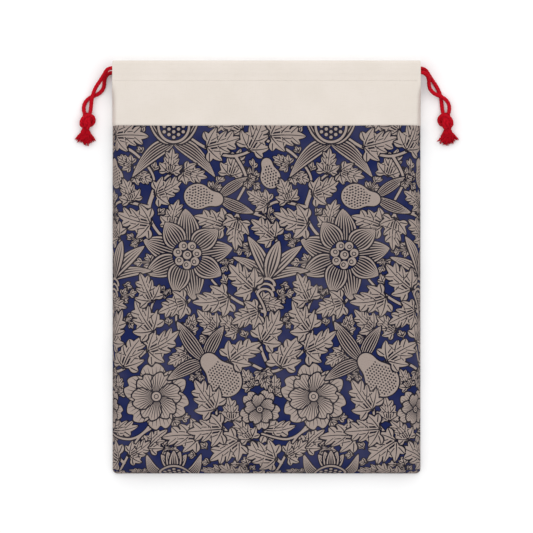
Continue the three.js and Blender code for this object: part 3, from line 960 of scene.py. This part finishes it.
def front_height(x, y):
    """Height of the front's outer face."""
    side = SIDE - np.abs(x)
    bottom = y - BOTTOM
    open_side = ease(y, SLIT_Y - 8, STITCH_Y + 2)
    steeper = 8 * ease(y, BAND_Y - 45, BAND_Y + 3)
    lift = rise(side, SLOPE + 1.5 * np.sin(y / 31.0) - steeper) * rise(bottom, SLOPE)
    crown = STACK + (1 - ease(y, BODY_END, STITCH_Y)) * (ripple(x, y) - BODY_DROP)
    crown = crown + (1 - open_side) * (puckers(y, side) + puckers(x, bottom))
    edge = SEAM_Z + ROLL + (STACK - SEAM_Z - ROLL) * open_side
    return edge + (crown - edge) * (lift + (1 - lift) * open_side)


def back_height(x, y):
    """Height of the back's outer face, which lies on the floor and curls up to the seams."""
    near = np.minimum(SIDE - np.abs(x), y - BOTTOM)
    curl = 1 - ease(near, 0, CURL)
    open_side = ease(y, SLIT_Y - 6, STITCH_Y)
    return (SEAM_Z - ROLL) * curl ** 1.5 * (1 - open_side)


def half_width(y):
    """Half a panel's width; its bottom corners are round."""
    up = np.clip(y - BOTTOM, 0, CORNER)
    return SIDE - (CORNER - np.sqrt(CORNER ** 2 - (CORNER - up) ** 2))


def even_along(profile, start, end):
    """Places between start and end, a cell apart along the cloth's own surface, and its length."""
    fine = np.linspace(start, end, 4000)
    height = profile(fine)
    run = np.concatenate([[0], np.cumsum(np.hypot(np.diff(fine), np.diff(height)))])
    count = int(round(run[-1] / CELL))
    return np.interp(np.linspace(0, run[-1], count + 1), run, fine), run[-1]


def moved_edge(edge, axis, place, z):
    """A copy of a grid's edge, at another place along an axis and another height."""
    edge = edge.copy()
    edge[..., axis] = place
    edge[..., 2] = z
    return edge


def panel(name, height, outwards, offset, art):
    """A printed panel: a dense sheet whose side and bottom edges turn under into the seam.

    outwards is 1 where the printed face looks up and -1 where it looks down, and offset
    is where in the print's repeat the panel is cut."""
    xs, flat_width = even_along(lambda x: height(x, np.full_like(x, 10.0)), -SIDE, SIDE)
    ys, flat_length = even_along(lambda y: height(np.zeros_like(y), y), BOTTOM, BAND_Y)
    x, y = np.meshgrid(xs / SIDE, ys)
    x = x * half_width(y)
    z = height(x * SIDE / half_width(y), y)
    seam_z = SEAM_Z + outwards * 0.02
    grid = np.stack([x, y, z], axis=-1)
    left = [moved_edge(grid[:, :1], 0, x[:, :1] + inset, seam_z) for inset in TURN_IN[::-1]]
    right = [moved_edge(grid[:, :1], 0, -x[:, :1] - inset, seam_z) for inset in TURN_IN]
    grid = np.concatenate(left + [grid] + right, axis=1)
    under = [moved_edge(grid[:1], 1, BOTTOM + inset, seam_z) for inset in TURN_IN[::-1]]
    top = grid[-1:]
    tucked = moved_edge(top, 1, top[..., 1] + TUCK[0], top[..., 2] - outwards * TUCK[1])
    grid = np.concatenate(under + [grid, tucked], axis=0)
    rows, columns = grid.shape[:2]
    cloth = np.zeros((rows, columns, 3))
    cloth[..., 0] = (np.arange(columns) - len(TURN_IN)) * CELL
    cloth[..., 1] = ((np.arange(rows) - len(TURN_IN)) * CELL)[:, None]
    attributes = {"cloth": cloth.reshape(-1, 3)}
    cells = np.ix_((np.arange(rows) + offset[1]) % art.ny, (offset[0] - np.arange(columns)) % art.nx)
    for key, field in art.fields.items():
        attributes[key] = field[cells].reshape(-1)
    quads = grid_quads(rows, columns)[:, ::int(outwards)]
    return mesh_object(name, grid.reshape(-1, 3), quads, attributes), flat_width, flat_length


def band_profile():
    """Outer face of the band from its join to the fold, then down the facing to the hem, as
    (y, depth below the outer face, half width)."""
    outer = np.concatenate([
        np.linspace(BAND_Y, STITCH_Y - 3, 20),
        np.linspace(STITCH_Y - 2.6, STITCH_Y + 2.6, 14),
        np.linspace(STITCH_Y + 3, TOP - 2.4, 10),
    ])
    rows = [(y, CLOTH / 2, SIDE) for y in outer]
    radius = (TUNNEL_TOP - CLOTH) / 2
    for degrees in np.linspace(12, 180, 13):
        angle = math.radians(degrees)
        y = TOP - CLOTH / 2 - radius + radius * math.sin(angle)
        depth = CLOTH / 2 + radius * (1 - math.cos(angle))
        rows.append((y, depth, SIDE + (FACING_SIDE - SIDE) * ease(degrees / 180, 0.2, 1.0)))
    inner_depth = CLOTH / 2 + 2 * radius
    hem_depth = CLOTH * 1.5 + 0.12
    tunnel_end = STITCH_Y + 3.2
    for y in np.linspace(TOP - 4.5, tunnel_end, 8):
        rows.append((y, inner_depth, FACING_SIDE))
    for u in np.linspace(0.15, 1, 7):
        depth = inner_depth + (hem_depth - inner_depth) * ease(u, 0, 1)
        rows.append((tunnel_end - 2.9 * u, depth, FACING_SIDE))
    for y in np.linspace(STITCH_Y - 0.8, HEM_Y, 5):
        rows.append((y, hem_depth, FACING_SIDE))
    return rows


def band_detail(x, y, depth):
    """The casing's low ridges over the cords, the dip along the stitches and the join's groove."""
    ridge = sum(0.22 * np.exp(-((y - lane) / 1.5) ** 2) for lane in LANES)
    stitch_wave = 0.75 + 0.25 * np.cos(TURN * x / STITCH_PITCH)
    dip = -0.07 * stitch_wave * np.exp(-((y - STITCH_Y) / 0.9) ** 2)
    join = -0.12 * np.exp(-((y - BAND_Y) / 0.9) ** 2)
    soft = 0.10 * np.sin(x / 17.0 + 1.3 * np.sin(y / 9.0)) * ease(y, TOP, TOP - 6)
    return (ridge + soft) * ease(depth, 3.0, 1.0) + dip + join


def band(name, is_front):
    """A band and its facing in one sheet, and the sheet's length from the join to the hem."""
    rows = band_profile()
    columns = np.linspace(-1, 1, 181)
    # closer columns at the sides, where the cloth slopes
    columns = np.sign(columns) * (1 - (1 - np.abs(columns)) ** 1.35)
    grid = np.zeros((len(rows), len(columns), 3))
    cloth = np.zeros_like(grid)
    run, last = 0.0, rows[0]
    for r, (y, depth, half) in enumerate(rows):
        x = columns * half
        ys = np.full_like(x, y)
        detail = band_detail(x, y, depth)
        if is_front:
            z = front_height(x, ys) - depth + detail
        else:
            z = back_height(x, ys) + depth - np.minimum(detail, 0)
        run += math.hypot(y - last[0], depth - last[1])
        last = (y, depth)
        grid[r] = np.stack([x, ys, z], axis=-1)
        cloth[r, :, 0] = x
        cloth[r, :, 1] = run
    if not is_front:
        grid, cloth = grid[:, ::-1], cloth[:, ::-1]
    return thick_sheet(name, grid, cloth), run


def stitches(name, height, half):
    """A row of machine stitches, each a short raised stroke that dives at both ends."""
    parts = []
    u = np.linspace(-1, 1, 7)[:, None]
    angle = np.linspace(0, TURN, 6, endpoint=False) + 0 * u
    radius = 0.24 * np.sqrt(np.maximum(1 - u ** 4, 0.02))
    for k, middle in enumerate(np.arange(-half + 2, half - 2, STITCH_PITCH)):
        x = middle + STITCH_PITCH * 0.44 * u + 0 * angle
        crest = height(x, np.full_like(x, STITCH_Y)) + 0.06 - 0.25 * u ** 4
        y = STITCH_Y + 0.05 * u + radius * np.cos(angle)
        points = np.stack([x, y, crest + radius * np.sin(angle)], axis=-1).reshape(-1, 3)
        quads = grid_quads(*angle.shape, wrap=True, start=k * angle.size)
        parts.append((points, quads, np.stack([x, angle, 0 * x], axis=-1).reshape(-1, 3)))
    return joined_object(name, "cloth", parts)


def allowance(name, node, cloth_over, wave):
    """A strip of seam allowance that follows the cloth it is sewn to."""
    low, high = box_mm(node)
    along = 0 if high[0] - low[0] > high[1] - low[1] else 1
    across = 1 - along
    s = np.linspace(low[along], high[along], int((high[along] - low[along]) / 2.0))
    t = np.linspace(low[across], high[across], 7)
    grid = np.zeros((7, len(s), 3))
    grid[..., along] = s[None, :]
    grid[..., across] = t[:, None]
    grid[..., 2] = cloth_over(grid[..., 0], grid[..., 1]) + wave * np.sin(grid[..., along] / 5.0)
    if along == 1:
        grid = grid.transpose(1, 0, 2)
    return thick_sheet(name, grid, grid.copy(), (high[2] - low[2]) * 0.7)


# ---- build the pieces ----

def assign(piece, look, *nodes):
    """Gives a piece its material in the place of CAD nodes, and hides those nodes."""
    material, slot = look
    piece.data.materials.clear()
    piece.data.materials.append(material)
    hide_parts(*nodes)


CREAM = (cream_material(), "cream_cotton")
PRINT = (print_material(), "print_cloth")
RED = (cord_material(), "red_cord")
THREAD = (thread_material(), "thread")
LINING = (lining_material(), "print_cloth")


def build_cord(name, sign, seed):
    """One cord with its runs, turn, tails, knot and frayed ends; sign is the side it comes out of."""
    rng = np.random.default_rng(seed)
    inner = -sign * FACING_SIDE
    outer = sign * (SIDE - JOIN)
    for face in ("front", "back"):
        node = f"{name}_{face}_run"
        _, y, z = middle_mm(node)
        run, _, run_length = cord_object(f"{node}_rope", [(inner, y, z), (0, y, z), (outer, y, z)], 0.7, 24)
        assign(run, RED, node)
        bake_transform(run)
        route = tail_route(sign, y, z, face)
        tail, path, length = cord_object(f"{name}_{face}_tail_rope", route, before=run_length)
        assign(tail, RED, f"{name}_{face}_tail")
        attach(tail, name)
    route = bight_route(-sign, *(middle_mm(f"{name}_{face}_run")[1:] for face in ("front", "back")))
    bight, _, _ = cord_object(f"{name}_bight_rope", route, 0.5, 24)
    assign(bight, RED, f"{name}_bight")
    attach(bight, "pouch")
    centre = middle_mm(f"{name}_knot")
    knot = knot_object(f"{name}_tied_knot", centre, sign)
    assign(knot, RED, f"{name}_knot")
    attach(knot, name)
    for part, side in (("outer", sign), ("inner", -sign)):
        node = f"{name}_frayed_end_{part}"
        neck = centre + (sign * NECK[0] + side * NECK_OFF * CORD, NECK[1], NECK[2])
        brush = frayed_object(f"{name}_brush_{part}", node, neck, side, rng)
        assign(brush, RED, node)
        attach(brush, name)


build_cord("left_cord", -1, 11)
build_cord("right_cord", 1, 23)

art = draw_print()
for name, height, outwards, offset in (
    ("front", front_height, 1, (50, 80)),
    ("back", back_height, -1, (70, 120)),
):
    made, width, length = panel(f"{name}_print_cloth", height, outwards, offset, art)
    assign(made, PRINT, f"{name}_print_panel")
    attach(made, "pouch")

for name, is_front in (("front", True), ("back", False)):
    made, run = band(f"{name}_band_cloth", is_front)
    assign(made, CREAM, f"{name}_band", f"{name}_casing_facing")
    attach(made, "pouch")


def under_front(x, y):
    return front_height(x, y) - 1.5


def over_back(x, y):
    return back_height(x, y) + 1.1


def front_face(x, y):
    return front_height(x, y) + band_detail(x, y, CLOTH / 2)


def back_inside(x, y):
    return back_height(x, y) + 2 * CLOTH + 0.5


for name, look, cloth_over, wave in (
    ("left_side_seam", LINING, over_back, 0.12),
    ("right_side_seam", LINING, over_back, 0.12),
    ("bottom_seam", LINING, over_back, 0.12),
    ("front_band_seam", CREAM, under_front, 0.05),
    ("back_band_seam", CREAM, over_back, 0.05),
):
    made = allowance(f"{name}_allowance", name, cloth_over, wave)
    assign(made, look, name)
    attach(made, "pouch")

for name, face, half in (("front", front_face, SIDE), ("back", back_inside, FACING_SIDE)):
    made = stitches(f"{name}_casing_stitch_row", face, half)
    assign(made, THREAD, f"{name}_casing_stitching")
    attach(made, "pouch")


# ---- floor and light ----

FLOOR_HALF = 3000.0
FLOOR_Z = -0.05
corners = [(x * FLOOR_HALF, y * FLOOR_HALF, FLOOR_Z) for x, y in ((-1, -1), (1, -1), (1, 1), (-1, 1))]
floor = mesh_object("floor", corners, [(0, 1, 2, 3)])
floor.data.materials.append(floor_material())

world = bpy.data.worlds.new("studio")
bpy.context.scene.world = world
world.use_nodes = True
background = world.node_tree.nodes["Background"]
background.inputs["Color"].default_value = (1, 1, 1, 1)
background.inputs["Strength"].default_value = AMBIENT

sun_data = bpy.data.lights.new("softbox", "SUN")
sun_data.energy = SUN * math.pi
sun_data.angle = SUN_SPREAD
sun = bpy.data.objects.new("softbox", sun_data)
sun.rotation_euler = (-SUN_TILT, 0, 0)
bpy.context.scene.collection.objects.link(sun)

bpy.context.scene.view_settings.view_transform = "Standard"
